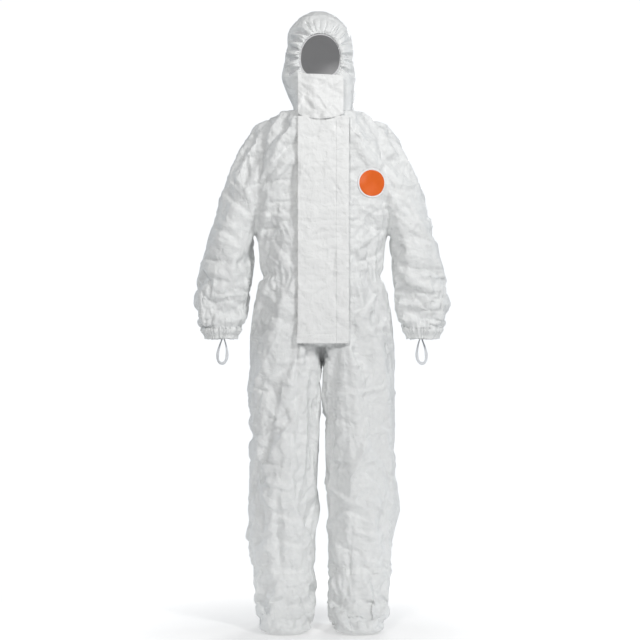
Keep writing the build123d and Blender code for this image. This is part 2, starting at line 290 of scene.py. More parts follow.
def arm_slice(arm, sign, z, count):
    """A slice of a sleeve. The upper sleeve is open at the armhole, so its slice reaches into the torso."""
    ring = slice_hull(arm, z, count)
    reach = 0.06 * float(smooth(shoulder.z - 0.2, shoulder.z - 0.05, z))
    way = -sign
    middle = sum(p[0] for p in ring) / count
    return [(x + way * reach if (x - middle) * way > 0 else x, y, z) for x, y, z in ring]


# Cloth


def neighbour_mean(obj, values, rounds):
    """Values evened out over the mesh, a number of times."""
    ends = np.empty(2 * len(obj.data.edges), int)
    obj.data.edges.foreach_get("vertices", ends)
    a, b = ends[0::2], ends[1::2]
    many = np.bincount(a, minlength=len(values)) + np.bincount(b, minlength=len(values))
    out = values.copy()
    for _ in range(rounds):
        total = np.zeros_like(out)
        for axis in range(out.shape[1]):
            total[:, axis] = np.bincount(a, out[b, axis], len(out)) + np.bincount(b, out[a, axis], len(out))
        out = 0.5 * out + 0.5 * total / many[:, None]
    return out


def wrinkle(skin):
    """Cloth that is a little too large for its shape buckles into folds. Elastic bands draw it in."""
    rest = points_of(skin)
    x, z = np.abs(rest[:, 0]), rest[:, 2]
    front = rest[:, 1] < front_y + 0.012
    pinned = (z < 0.012) | (z > neck_z - 0.008)
    pinned |= (x > 0.24) & (z < cuff_end_z + 0.03)
    pinned |= front & (rest[:, 0] > -0.055) & (rest[:, 0] < 0.08) & (z > 0.87)
    trunk = (z > hip_z) & (x < 0.2)
    bands = 0.5 * np.exp(-(((z - waist_z) / 0.024) ** 2)) * trunk
    bands += 0.3 * np.exp(-(((z - sock_z) / 0.012) ** 2)) * (x < 0.24)
    bands += np.exp(-(((z - (cuff_z - 0.01)) / 0.012) ** 2)) * (x > 0.235) * (z < 1.0)
    pin_group = skin.vertex_groups.new(name="held")
    band_group = skin.vertex_groups.new(name="elastic")
    for i in np.flatnonzero(pinned):
        pin_group.add([int(i)], 1.0, "REPLACE")
    for i in np.flatnonzero(bands > 0.02):
        band_group.add([int(i)], min(1.0, float(bands[i])), "REPLACE")
    cloth = skin.modifiers.new("cloth", "CLOTH")
    cloth.settings.quality = 4
    cloth.settings.mass = 0.12
    cloth.settings.tension_stiffness = 30
    cloth.settings.compression_stiffness = 30
    cloth.settings.shear_stiffness = 15
    cloth.settings.bending_stiffness = 0.6
    cloth.settings.effector_weights.gravity = 0.15
    cloth.settings.use_pressure = True
    cloth.settings.uniform_pressure_force = 0.6
    cloth.settings.vertex_group_mass = "held"
    cloth.settings.vertex_group_shrink = "elastic"
    cloth.settings.shrink_min = -0.06
    cloth.settings.shrink_max = 0.16
    cloth.collision_settings.use_collision = False
    cloth.collision_settings.use_self_collision = False
    for step in range(1, 19):
        scene.frame_set(step)
    apply_all(skin)
    scene.frame_set(1)
    moved = points_of(skin) - rest
    broad = neighbour_mean(skin, moved, 60)
    fine = moved - broad
    set_points(skin, rest + capped(broad, 0.006, 0.5) + capped(fine, 0.018, 1.35))
    skin.vertex_groups.clear()


def capped(moves, most, gain):
    """Moves made gain times as long, levelling off at the most that each may be."""
    size = np.linalg.norm(moves, axis=1, keepdims=True) + 1e-9
    return moves * (most * np.tanh(gain * size / most) / size)


def refine(obj):
    divide = obj.modifiers.new("fine", "SUBSURF")
    divide.levels = 1
    divide.render_levels = 1
    apply_all(obj)


def press_creases(points, normals, folds):
    """Adds sharp straight folds. Each is (middle, direction, half length, half width, height, skew)."""
    height = np.zeros(len(points))
    order = np.argsort(points[:, 2])
    sorted_z = points[order, 2]
    for middle, way, length, width, rise, skew in folds:
        low, high = np.searchsorted(sorted_z, (middle[2] - length, middle[2] + length))
        near = order[low:high]
        offset = points[near] - middle
        close = np.einsum("ij,ij->i", offset, offset) < length * length
        near, offset = near[close], offset[close]
        if not len(near):
            continue
        along = offset @ way
        normal = normals[near]
        across_way = np.cross(normal, way)
        across_way /= np.linalg.norm(across_way, axis=1, keepdims=True) + 1e-9
        across = np.einsum("ij,ij->i", offset, across_way)
        taper = np.clip(1 - (along / length) ** 2, 0, 1)
        reach = np.where(across > 0, width * skew, width / skew) * (0.35 + 0.65 * taper)
        ridge = np.clip(1 - np.abs(across) / reach, 0, 1)
        facing = np.clip(normal @ normal_at(normals, near, offset) * 2, 0, 1)
        height[near] += rise * taper * ridge * facing
    return height


def normal_at(normals, near, offset):
    """The surface normal at the point nearest to a fold's middle."""
    nearest = near[np.argmin(np.einsum("ij,ij->i", offset, offset))]
    return normals[nearest]


def scatter_folds(points, normals, count, length, width, rise, allowed=None, lean=None):
    """Random folds on the surface. lean turns their directions towards one that the region has."""
    folds = []
    usable = np.arange(len(points)) if allowed is None else np.flatnonzero(allowed)
    for _ in range(count):
        i = int(usable[int(draw.random() * len(usable))])
        normal = Vector(normals[i])
        level = Vector((0, 0, 1)).cross(normal)
        if level.length < 0.2:
            level = Vector((1, 0, 0))
        level.normalize()
        angle = draw.uniform(0, math.pi) if lean is None else draw.gauss(lean, 0.5)
        if draw.random() < 0.5:
            angle = -angle
        way = Matrix.Rotation(angle, 3, normal) @ level
        sign = -1 if draw.random() < 0.45 else 1
        folds.append((
            points[i], np.array(way), draw.uniform(*length), draw.uniform(*width),
            sign * draw.uniform(*rise), math.exp(draw.uniform(-0.7, 0.7)),
        ))
    return folds


# Where each part of the skin belongs


def arm_place(points):
    """How far along the arm and out from its middle each point lies, measured from the shoulder joint."""
    lean = math.atan2(elbow.x - shoulder.x, shoulder.z - elbow.z) + 0.03
    x, z = np.abs(points[:, 0]) - shoulder.x, points[:, 2] - shoulder.z
    along = x * math.sin(lean) - z * math.cos(lean)
    out = x * math.cos(lean) + z * math.sin(lean)
    return along, out


armhole_lean = 1.4
armhole_middle = 0.112
elbow_start, elbow_end = 0.262, 0.387
gap_z = (0.86, 1.0, 1.1, 1.215, 1.5)
gap_x = (0.222, 0.209, 0.193, 0.194, 0.16)


def store(obj, name, values):
    attribute = obj.data.attributes.get(name) or obj.data.attributes.new(name, "FLOAT", "POINT")
    attribute.data.foreach_set("value", np.asarray(values, np.float32))


def fetch(obj, name):
    values = np.empty(len(obj.data.vertices), np.float32)
    obj.data.attributes[name].data.foreach_get("value", values)
    return values.astype(float)


def chart(skin):
    """Keeps, with the skin, what is measured best before it wrinkles: limbs, distances and seams."""
    points = points_of(skin)
    x, y, z = np.abs(points[:, 0]), points[:, 1], points[:, 2]
    along, out = arm_place(points)
    past_armhole = along - (armhole_middle - armhole_lean * out)
    in_arm = x > np.interp(z, gap_z, gap_x)
    store(skin, "past_armhole", np.where(in_arm, past_armhole, -1.0))
    store(skin, "along_arm", along)
    store(skin, "out_arm", out)
    store(skin, "height", z)
    far = np.full(len(points), no_seam)
    arm = in_arm & (past_armhole > 0)
    trunk = ~arm & (z > hip_z)
    leg = ~arm & (z <= hip_z)
    side_y = np.interp(z, (hip_z, waist_z, 1.33, 1.5), (0.024, 0.015, 0.023, 0.006))
    far = np.where(trunk & (x > 0.12), np.abs(y - side_y), far)
    far = np.where(in_arm & (past_armhole > -0.03), np.minimum(far, np.abs(past_armhole) * 0.6), far)
    far = np.where(arm & (out < -0.02), np.minimum(far, np.abs(y - shoulder.y - 0.012)), far)
    far = np.where(leg & (z < sock_z + 0.04), np.minimum(far, np.abs(z - sock_z)), far)
    far = np.where(leg & (x < 0.06) & (z > sock_z), np.minimum(far, np.abs(y - 0.03)), far)
    raglan = np.abs((x - 0.085) * 0.79 - (1.505 - z) * 0.62)
    far = np.where(trunk & (y < 0.02) & (x > 0.08) & (points[:, 0] > 0), np.minimum(far, raglan), far)
    store(skin, "seam", far)


def cut_panels(skin):
    """Torso, two sleeves in two runs each, two legs in two runs each, and two socks."""
    points = points_of(skin)
    normals = normals_of(skin)
    past, along, out = (fetch(skin, n) for n in ("past_armhole", "along_arm", "out_arm"))
    height = fetch(skin, "height")
    parts = {"torso": (None, ("torso",), None)}
    arm = past > 0
    thigh_middle = (thigh_z + knee.z) / 2 + 0.01
    hip_turn = 1 - smooth(thigh_z - 0.01, hip_z, height)
    knee_turn = 1 - smooth(knee.z - 0.085, knee.z + 0.085, height)
    ankle_turn = 1 - smooth(0.085, sock_z, height)
    raise_width = np.interp(out, (-0.07, 0.08), (0.05, 0.16))
    raise_turn = np.clip(past / raise_width, 0, 1)
    raise_turn = raise_turn**2 * (3 - 2 * raise_turn)
    raise_turn = np.maximum(raise_turn, smooth(elbow_start - 0.06, elbow_start, along) * arm)
    elbow_turn = smooth(elbow_start, elbow_end, along)
    for side, sign in sides:
        mine = points[:, 0] * sign > 0
        leg = mine & ~arm & (height < hip_z)
        sleeve = mine & arm
        upper = leg & (height > thigh_middle)
        lower = leg & (height <= thigh_middle) & (height > sock_z)
        parts[f"upper_sleeve_{side}"] = (
            sleeve & (along <= elbow_start), ("torso", f"upper_arm_{side}"), raise_turn)
        parts[f"lower_sleeve_{side}"] = (
            sleeve & (along > elbow_start), (f"upper_arm_{side}", f"forearm_{side}"), elbow_turn)
        parts[f"upper_leg_{side}"] = (upper, ("torso", f"thigh_{side}"), hip_turn)
        parts[f"lower_leg_{side}"] = (lower, (f"thigh_{side}", f"shin_{side}"), knee_turn)
        parts[f"sock_{side}"] = (leg & (height <= sock_z), (f"shin_{side}", f"foot_{side}"), ankle_turn)
    label = np.zeros(len(points), int)
    for number, (keep, _, _) in enumerate(parts.values()):
        if keep is not None:
            label[keep] = number
    corners = np.empty(4 * len(skin.data.polygons), int)
    skin.data.polygons.foreach_get("vertices", corners)
    corners = corners.reshape(-1, 4)
    owner = label[corners].max(axis=1)
    pieces = {}
    for number, (name, (_, bodies, weight)) in enumerate(parts.items()):
        chosen = corners[owner == number]
        pieces[name] = cut_piece(skin, points, normals, chosen, f"fabric_{name}", bodies, weight)
    bpy.data.objects.remove(skin)
    return pieces


def cut_piece(skin, points, normals, chosen, name, bodies, weight):
    used, index = np.unique(chosen, return_inverse=True)
    piece = new_object(name, points[used], index.reshape(-1, 4))
    piece.data.shade_smooth()
    piece.data.normals_split_custom_set_from_vertices([tuple(n) for n in normals[used]])
    store(piece, "seam", fetch(skin, "seam")[used])
    if weight is None:
        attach(piece, bodies[0])
    else:
        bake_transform(piece, *bodies, start=(0, 0, 1), end=(0, 0, 0))
        store(piece, "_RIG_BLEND", weight[used])
    return piece


# Folds of the front, as x and z of both ends, half width and height, in millimetres, and a skew

front_folds = (
    # wearer's right shoulder and chest
    ((-207, 1502), (-202, 1392), 11, -7, 1.4), ((-218, 1446), (-211, 1345), 10, 5, 0.8),
    ((-236, 1436), (-213, 1345), 12, -5, 1.3), ((-200, 1374), (-150, 1462), 10, -5, 1.3),
    ((-193, 1382), (-128, 1520), 13, 5, 0.7), ((-182, 1376), (-118, 1490), 9, -4, 1.4),
    ((-149, 1382), (-100, 1466), 12, 5, 1.5), ((-196, 1312), (-125, 1385), 16, -5, 1.4),
    ((-150, 1330), (-84, 1410), 22, 7, 2.2), ((-120, 1285), (-84, 1330), 12, -4, 1.3),
    ((-188, 1240), (-84, 1236), 20, 11, 0.45), ((-190, 1196), (-82, 1205), 16, -8, 1.4),
    ((-153, 1165), (-98, 1213), 9, 6, 1.6), ((-140, 1165), (-82, 1092), 18, -8, 1.6),
    ((-165, 1120), (-120, 1085), 12, 6, 0.8), ((-178, 1072), (-124, 1056), 18, -6, 1.3),
    ((-128, 1262), (-100, 1240), 7, -4, 1.0), ((-118, 1255), (-92, 1268), 6, 3, 1.0),
    # wearer's right hip
    ((-190, 1030), (-84, 935), 20, 7, 1.7), ((-196, 990), (-84, 903), 14, -6, 1.3),
    ((-200, 930), (-96, 886), 18, 5, 1.6), ((-200, 880), (-110, 905), 13, -4, 1.2),
    # wearer's left chest and waist
    ((96, 1470), (196, 1385), 14, -5, 1.4), ((104, 1500), (205, 1420), 12, 5, 0.7),
    ((92, 1262), (188, 1236), 18, 8, 0.5), ((92, 1214), (192, 1190), 14, -7, 1.4),
    ((96, 1130), (170, 1186), 14, 6, 1.5), ((110, 1096), (180, 1128), 13, -6, 1.3),
    ((92, 1290), (108, 1232), 8, -4, 1.2), ((90, 893), (192, 1030), 18, 7, 1.6),
    ((92, 935), (170, 1010), 12, -5, 1.3), ((88, 866), (196, 925), 16, 5, 0.7),
    ((176, 1352), (199, 1290), 12, -5, 1.2), ((120, 1222), (150, 1160), 10, 4, 0.8),
    # wearer's right sleeve
    ((-290, 1308), (-206, 1236), 20, -6, 1.6), ((-262, 1360), (-214, 1290), 14, 5, 1.5),
    ((-322, 1214), (-250, 1158), 14, -6, 1.4), ((-330, 1180), (-232, 1128), 16, 6, 0.6),
    ((-352, 1110), (-300, 1098), 13, -8, 1.2), ((-356, 1080), (-262, 1040), 16, 6, 1.6),
    ((-350, 1040), (-290, 990), 12, -5, 1.3), ((-372, 1010), (-320, 960), 12, 5, 0.8),
    ((-250, 1180), (-215, 1090), 14, 5, 1.6), ((-300, 1000), (-240, 965), 12, -5, 1.2),
    # wearer's left sleeve
    ((214, 1300), (282, 1222), 20, -6, 1.4), ((236, 1360), (292, 1290), 16, 5, 0.7),
    ((218, 1240), (300, 1160), 14, 6, 1.5), ((250, 1180), (338, 1150), 13, -6, 1.3),
    ((236, 1130), (340, 1096), 16, 6, 0.6), ((262, 1082), (350, 1060), 12, -7, 1.3),
    ((240, 1050), (320, 1000), 16, 6, 1.5), ((280, 1010), (372, 985), 12, -6, 1.2),
    ((336, 1120), (366, 1040), 14, 6, 1.6), ((260, 975), (350, 950), 10, -4, 1.2),
    # wearer's right leg
    ((-30, 838), (-140, 762), 16, -6, 1.4), ((-36, 800), (-150, 800), 14, 4, 0.8),
    ((-25, 818), (-52, 715), 13, 6, 1.5), ((-52, 730), (-64, 640), 14, 5, 1.4),
    ((-202, 752), (-140, 753), 12, 6, 0.7), ((-142, 754), (-72, 725), 13, 6, 1.4),
    ((-206, 730), (-156, 710), 10, -8, 1.1), ((-174, 706), (-187, 610), 15, 9, 2.0),
    ((-186, 625), (-188, 500), 15, 9, 2.0), ((-190, 520), (-156, 436), 16, 9, 2.0),
    ((-172, 640), (-114, 624), 8, -5, 1.2), ((-166, 668), (-112, 610), 9, 4, 1.3),
    ((-150, 612), (-110, 592), 9, -5, 1.2), ((-116, 602), (-74, 490), 18, 8, 0.5),
    ((-186, 512), (-116, 490), 12, -6, 1.2), ((-116, 492), (-100, 530), 9, 5, 1.2),
    ((-178, 452), (-84, 420), 14, 7, 1.5), ((-190, 430), (-140, 360), 20, 10, 2.0),
    ((-196, 400), (-176, 310), 18, -8, 1.4), ((-90, 470), (-40, 400), 14, -5, 1.3),
    ((-150, 360), (-60, 330), 16, -6, 1.4), ((-170, 300), (-90, 320), 14, 6, 0.7),
    ((-140, 280), (-50, 250), 13, -5, 1.3), ((-180, 262), (-130, 210), 14, 6, 1.4),
    # wearer's left leg
    ((6, 838), (32, 798), 14, -9, 1.6), ((90, 818), (134, 790), 9, -4, 1.3),
    ((18, 735), (82, 733), 10, -5, 1.2), ((10, 709), (98, 705), 11, 6, 0.7),
    ((94, 705), (192, 730), 11, 6, 0.7), ((114, 730), (142, 772), 10, 5, 1.4),
    ((60, 780), (130, 800), 14, 4, 1.4), ((134, 642), (124, 575), 9, 6, 1.6),
    ((126, 590), (114, 512), 9, 6, 1.6), ((26, 498), (80, 497), 14, -9, 0.8),
    ((40, 640), (100, 610), 14, -4, 1.4), ((70, 600), (30, 520), 15, 5, 1.4),
    ((112, 494), (160, 512), 8, 4, 1.2), ((108, 490), (82, 452), 8, 4, 1.2),
    ((120, 480), (170, 440), 14, -6, 1.3), ((30, 420), (110, 380), 18, 8, 0.6),
    ((60, 372), (150, 330), 16, -8, 1.5), ((130, 400), (188, 350), 16, 7, 1.6),
    ((24, 340), (90, 300), 13, -5, 1.3), ((100, 300), (176, 280), 14, 6, 0.7),
    ((40, 262), (120, 230), 13, -5, 1.3), ((150, 250), (190, 300), 12, 5, 1.4),
)


def placed_folds(skin, listed):
    """The listed folds, laid on the side of the skin that faces the front."""
    tree = tree_of(skin)
    folds = []
    for start, end, width, rise, skew in listed:
        ends = []
        for x, z in (start, end):
            hit = tree.ray_cast(Vector((x / 1000, -1, z / 1000)), Vector((0, 1, 0)))[0]
            if hit is None:
                hit = tree.find_nearest(Vector((x / 1000, front_y + 0.06, z / 1000)))[0]
            ends.append(np.array(hit))
        middle, half = (ends[0] + ends[1]) / 2, (ends[1] - ends[0]) / 2
        length = np.linalg.norm(half)
        folds.append((middle, half / length, length * 1.15, width / 1000, rise / 1000, skew))
    return folds


def crumple(skin):
    """Placed and scattered folds, then short creases between them, all on the finished cloth."""
    points, normals = points_of(skin), normals_of(skin)
    past, height = fetch(skin, "past_armhole"), fetch(skin, "height")
    behind_flap = (points[:, 1] < front_y + 0.02) & (height > closure_bottom)
    quiet = behind_flap & (points[:, 0] > closure_right) & (points[:, 0] < closure_left)
    away = ~quiet & (height > 0.02)
    back = away & (points[:, 1] > 0.02)
    legs = away & (height < hip_z - 0.03) & (past < 0)
    folds = placed_folds(skin, front_folds)
    # how many, ranges of half length, half width and height, where they may lie, and their lean
    for scattered in (
        (80, (0.05, 0.13), (0.014, 0.03), (0.003, 0.008), back, 0.6),
        (60, (0.03, 0.08), (0.01, 0.02), (0.002, 0.005), away & (past > 0), 0.5),
        (84, (0.05, 0.17), (0.014, 0.03), (0.004, 0.009), legs, 1.2),
        (520, (0.025, 0.085), (0.007, 0.017), (0.0012, 0.0034), away, 0.7),
        (1300, (0.008, 0.024), (0.004, 0.008), (0.0004, 0.0011), away, None),
    ):
        folds += scatter_folds(points, normals, *scattered)
    rise = press_creases(points, normals, folds)
    rise += facets(points, 0.085, 0.10) + facets(points, 0.04, 0.08)
    deeper_below = 1 + 0.25 * (1 - smooth(0.5, 0.8, height))
    rise *= np.where(quiet, 0.1, 1.0) * smooth(0.0, 0.02, height) * deeper_below
    set_points(skin, points + normals * rise[:, None])


def facets(points, cell, slope):
    """Flat patches between random middles, each tilted its own way, as a crumpled sheet has."""
    placed = points * np.array([1, 1, 0.7])
    placed += 0.2 * cell * np.sin(points[:, [2, 0, 1]] * (2.1 / cell))
    mixed = rng.permutation(len(points))
    _, first = np.unique(np.floor(placed[mixed] / cell).astype(int), axis=0, return_index=True)
    middles = mixed[first]
    tree = KDTree(len(middles))
    for number, i in enumerate(middles):
        tree.insert(placed[i], number)
    tree.balance()
    tilt = rng.normal(0, 0.6, (len(middles), 3))
    near = [tree.find_n(p, 2) for p in placed]
    nearest = np.array([n[0][1] for n in near])
    edge = np.array([n[1][2] - n[0][2] for n in near]) / 2
    offset = placed - placed[middles[nearest]]
    rise = np.einsum("ij,ij->i", offset, tilt[nearest]) * slope
    return np.clip(rise, -0.4 * cell * slope, 0.4 * cell * slope) * smooth(0, 0.4 * cell, edge)


def gather(skin):
    """Fine pleats where elastic draws the fabric in, and the groove that the zip lies in."""
    points, normals = points_of(skin), normals_of(skin)
    x, y, z = points.T
    height, past = fetch(skin, "height"), fetch(skin, "past_armhole")
    rise = np.zeros(len(points))
    turn = np.arctan2(y - 0.015, np.abs(x) - 0.303)
    near = smooth(cuff_z + 0.055, cuff_z - 0.008, height) * (past > 0)
    rise += 0.0032 * near * pleats(turn, 23, 0.4)
    turn = np.arctan2(y - 0.02, x)
    beside_zip = smooth(0.07, 0.12, np.abs(x) + (y > 0) * 0.2)
    near = np.exp(-(((height - waist_z) / 0.03) ** 2)) * (past < 0) * beside_zip
    rise += 0.0026 * near * pleats(turn, 58, 0.3)
    turn = np.arctan2(y - 0.025, np.abs(x) - 0.113)
    near = np.exp(-(((height - sock_z) / 0.018) ** 2)) * (past < 0)
    rise += 0.0017 * near * pleats(turn, 34, 0.5)
    points += normals * rise[:, None]
    in_groove = (1 - smooth(0.0055, 0.0095, np.abs(x))) * (y < 0) * (z > 0.86) * (z < 1.512)
    points[:, 1] += 0.0075 * in_groove
    set_points(skin, points)


def pleats(turn, count, uneven):
    """Irregular sharp-edged pleats round a circle, from -1 in the valleys to 1."""
    wobble = turn + uneven * 0.12 * np.sin(3 * turn + 1) + uneven * 0.07 * np.sin(7 * turn)
    wave = np.sin(count * wobble) + 0.45 * np.sin(1.7 * count * wobble + 2)
    return wave / 1.45


# Hood

face_middle = Vector((0.006, 0.026, 1.709))
face_radius = 0.0775

# Each hood fold's angle round the face from the wearer's left, drift outward and width, in degrees, its depth
# in units of fold_unit, and its reach in millimetres
fold_unit = 2.5 / 1000
hood_folds = (
    (122, 20, 8, 8, 84), (146, 5, 7, 9, 86), (167, -5, 7, 10, 84), (187, -5, 7, 9, 82), (209, -3, 8, 7, 74),
    (134, 12, 4, -3, 70), (157, 2, 4, -4, 72), (177, -4, 4, -4, 74), (198, -3, 4, -4, 66),
    (26, 4, 5, 5, 76), (4, 0, 5, 6, 74), (-30, 3, 6, 6, 70), (-12, 2, 4, 4, 60), (53, 4, 4, 4, 70),
    (66, -3, 4, 4, 52), (40, 6, 3, -3, 60), (80, 1, 3, 2, 50), (92, 0, 3, 3, 46), (101, 2, 3, 3, 52),
    (110, 4, 3, 4, 58),
)


def hood_shape():
    """The hood's smooth outer shape, closed over the face, from slices of the CAD hood."""
    nodes = ("hood_centre_strip", "hood_side_left", "hood_side_right")
    low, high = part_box("hood_side_left")[0][2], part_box("hood_centre_strip")[1][2]
    count = 96
    rings = []
    neck_low = slice_hull(("neck_section",), neck_z + 0.004, count, (0, 0))
    rings.append([(x * 0.97, y * 0.97, neck_z - 0.06) for x, y, _ in neck_low])
    for z in np.arange(neck_z + 0.004, low - 0.001, 0.012):
        rings.append(slice_hull(("neck_section",), float(z), count, (0, 0)))
    heights = low + (high - low) * np.sin(np.linspace(0.02, math.pi / 2 - 0.05, 26))
    for z in heights:
        middle = (0, 0.026 * float(smooth(low, low + 0.06, z)))
        rings.append(slice_hull(nodes, float(z), count, middle))
    vertices = [p for ring in rings for p in ring]
    shape = new_object("hood_shape", vertices, tube_faces(len(rings), count))
    soften = shape.modifiers.new("soft", "SMOOTH")
    soften.factor = 0.5
    soften.iterations = 5
    apply_all(shape)
    tree = tree_of(shape)
    bpy.data.objects.remove(shape)
    return tree


# How far the hood is drawn in at each height: at the wearer's right, then the wearer's left
hood_heights = (1.54, 1.565, 1.6, 1.655, 1.7, 1.745, 1.79)
drawn_right = (0.016, 0.017, 0.006, -0.004, 0.004, 0.009, 0.0)
drawn_left = (0.008, 0.007, 0.001, -0.003, 0.002, 0.004, 0.0)


def shaped(points):
    """Hood points drawn in at the neck and at eye level, and tipped a little to the wearer's right."""
    x, z = points[:, 0], points[:, 2]
    at_right, at_left = (np.interp(z, hood_heights, drawn) for drawn in (drawn_right, drawn_left))
    drawn = np.where(x < 0, at_right, at_left)
    out = points.copy()
    out[:, 0] = x * (1 - drawn / 0.105) - 0.010 * smooth(neck_z, 1.66, z)
    return out


def hood_grid(columns, rows, inset=0.0):
    """Rings from the face's rim over the head to the back, as points, angles and distances from the rim."""
    tree = hood_shape()
    back = Vector((0, 1, 0))
    rings = []
    for row in range(rows):
        share = (row / (rows - 1)) ** 1.15
        ring = []
        for k in range(columns):
            angle = 2 * math.pi * k / columns
            across, up = math.cos(angle), math.sin(angle)
            rim = face_radius / (1 + (max(0, -up) * 0.96) ** 9) ** (1 / 9)
            start = Vector((across * rim, 0, up * rim)) + Vector((0, front_y - face_middle.y, 0))
            start.normalize()
            turned = start.angle(back) * share * 0.998
            axis = start.cross(back).normalized()
            way = Matrix.Rotation(turned, 3, axis) @ start
            far = face_middle + way * 0.6
            hit = tree.ray_cast(far, -way)[0]
            if hit is None:
                hit = tree.find_nearest(far)[0]
            ring.append(hit - way * inset)
        rings.append(ring)
    return rings


def hood_relief(angle, away):
    """Height of the listed folds and of the gathers round the face."""
    rise = np.zeros(away.shape)
    for at, drift, width, depth, reach in hood_folds:
        line = at + drift * away / (reach / 1000)
        gap = np.abs((angle - line + 180) % 360 - 180)
        spread = width * (0.55 + 0.45 * smooth(0, 0.03, away))
        body = smooth(0, 0.012, away) * (1 - smooth(reach * 0.0006, reach * 0.00125, away))
        rise -= fold_unit * depth * body * np.clip(1 - gap / (0.85 * spread), 0, 1) ** 0.9
    rise += 0.0022 * np.exp(-away / 0.016) * pleats(np.radians(angle), 47, 1.0)
    rise += 0.0012 * np.exp(-away / 0.035) * pleats(np.radians(angle) + 0.3, 29, 1.0)
    rise -= 0.005 * np.exp(-((away / 0.006) ** 2))
    return rise


def build_hood():
    """The outer hood, with gathers round the face and a folded rim."""
    columns, rows = 320, 118
    grid = np.array([[tuple(p) for p in ring] for ring in hood_grid(columns, rows)])
    away = np.zeros((rows, columns))
    away[1:] = np.cumsum(np.linalg.norm(np.diff(grid, axis=0), axis=2), axis=0)
    angle = np.degrees(2 * np.pi * np.arange(columns) / columns)[None, :]
    base = new_object("hood_base", grid.reshape(-1, 3), tube_faces(rows, columns, closed=False))
    normals = normals_of(base).reshape(rows, columns, 3)
    outward = grid - np.array(face_middle)
    normals *= np.sign(np.einsum("ijk,ijk->ij", normals, outward))[:, :, None]
    bpy.data.objects.remove(base)
    points = grid + normals * hood_relief(angle, away)[:, :, None]
    points[:, :, 1] += 0.004 * np.exp(-away / 0.01)
    rim = [points[0] + np.array([0, 0.004, 0]) * k - outward[0] * 0.03 * (k / 3) for k in (3, 2, 1)]
    points = np.concatenate([np.array(rim), points])
    rows += 3
    hood = new_object("fabric_hood", points.reshape(-1, 3), tube_faces(rows, columns, closed=False))
    flat = points_of(hood)
    hood_normals = normals_of(hood)
    ahead = np.einsum("ij,ij->i", hood_normals, flat - np.array(face_middle)) < 0
    hood_normals[ahead] *= -1
    above = flat[:, 2] > neck_z + 0.02
    folds = scatter_folds(flat, hood_normals, 34, (0.02, 0.06), (0.008, 0.018), (0.0015, 0.0045), above)
    folds += scatter_folds(flat, hood_normals, 150, (0.012, 0.035), (0.004, 0.009), (0.0006, 0.0018), above)
    flat += hood_normals * press_creases(flat, hood_normals, folds)[:, None]
    seam = np.full(len(flat), no_seam)
    over = (flat[:, 2] > 1.775) | (flat[:, 1] > 0.03)
    seam[over] = np.abs(np.abs(flat[over, 0]) - 0.038)
    set_points(hood, shaped(flat))
    store(hood, "seam", seam)
    trim_faces(hood, flat[:, 2] > neck_z - 0.024)
    finish_hood_piece(hood)
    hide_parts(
        "hood_centre_strip", "hood_side_left", "hood_side_right", "neck_section", "face_elastic")
    return hood


def build_lining():
    """The inside of the hood, seen through the face opening, painted grey as shade."""
    columns, rows = 96, 40
    points = np.array([tuple(p) for ring in hood_grid(columns, rows, inset=0.013) for p in ring])
    inside = new_object("hood_lining", shaped(points), tube_faces(rows, columns, closed=False))
    trim_faces(inside, points_of(inside)[:, 2] > neck_z - 0.01)
    inside.data.flip_normals()
    finish_hood_piece(inside)
    return inside


def trim_faces(obj, keep):
    """Deletes every face with a corner that isn't kept."""
    mesh = bmesh.new()
    mesh.from_mesh(obj.data)
    mesh.verts.ensure_lookup_table()
    gone = [f for f in mesh.faces if not all(keep[v.index] for v in f.verts)]
    bmesh.ops.delete(mesh, geom=gone, context="FACES")
    mesh.to_mesh(obj.data)
    mesh.free()


def finish_hood_piece(piece):
    piece.data.shade_smooth()
    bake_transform(piece, "torso", "hood", start=(0, 0, neck_z + 0.004), end=(0, 0, neck_z + 0.075))


# Flaps


def sheet_grid(name, xs, zs, place, thickness):
    """A sheet over a grid of x and z. place turns each x and z into a point of the sheet."""
    vertices = [place(x, z) for z in zs for x in xs]
    wide = len(xs)
    faces = [
        (r * wide + c, r * wide + c + 1, (r + 1) * wide + c + 1, (r + 1) * wide + c)
        for r in range(len(zs) - 1)
        for c in range(wide - 1)
    ]
    sheet = new_object(name, vertices, faces)
    sheet.data.shade_smooth()
    solid = sheet.modifiers.new("thickness", "SOLIDIFY")
    solid.thickness = thickness
    solid.offset = 0
    return sheet


def flap_creases(sheet, count, quiet=None):
    points = points_of(sheet)
    normals = np.tile(np.array([0.0, -1.0, 0.0]), (len(points), 1))
    folds = scatter_folds(points, normals, count, (0.02, 0.09), (0.008, 0.024), (0.001, 0.003))
    folds += scatter_folds(points, normals, count * 3, (0.008, 0.025), (0.004, 0.008), (0.0002, 0.0006))
    rise = press_creases(points, normals, folds)
    if quiet is not None:
        rise *= quiet(points)
    points[:, 1] -= rise
    set_points(sheet, points)


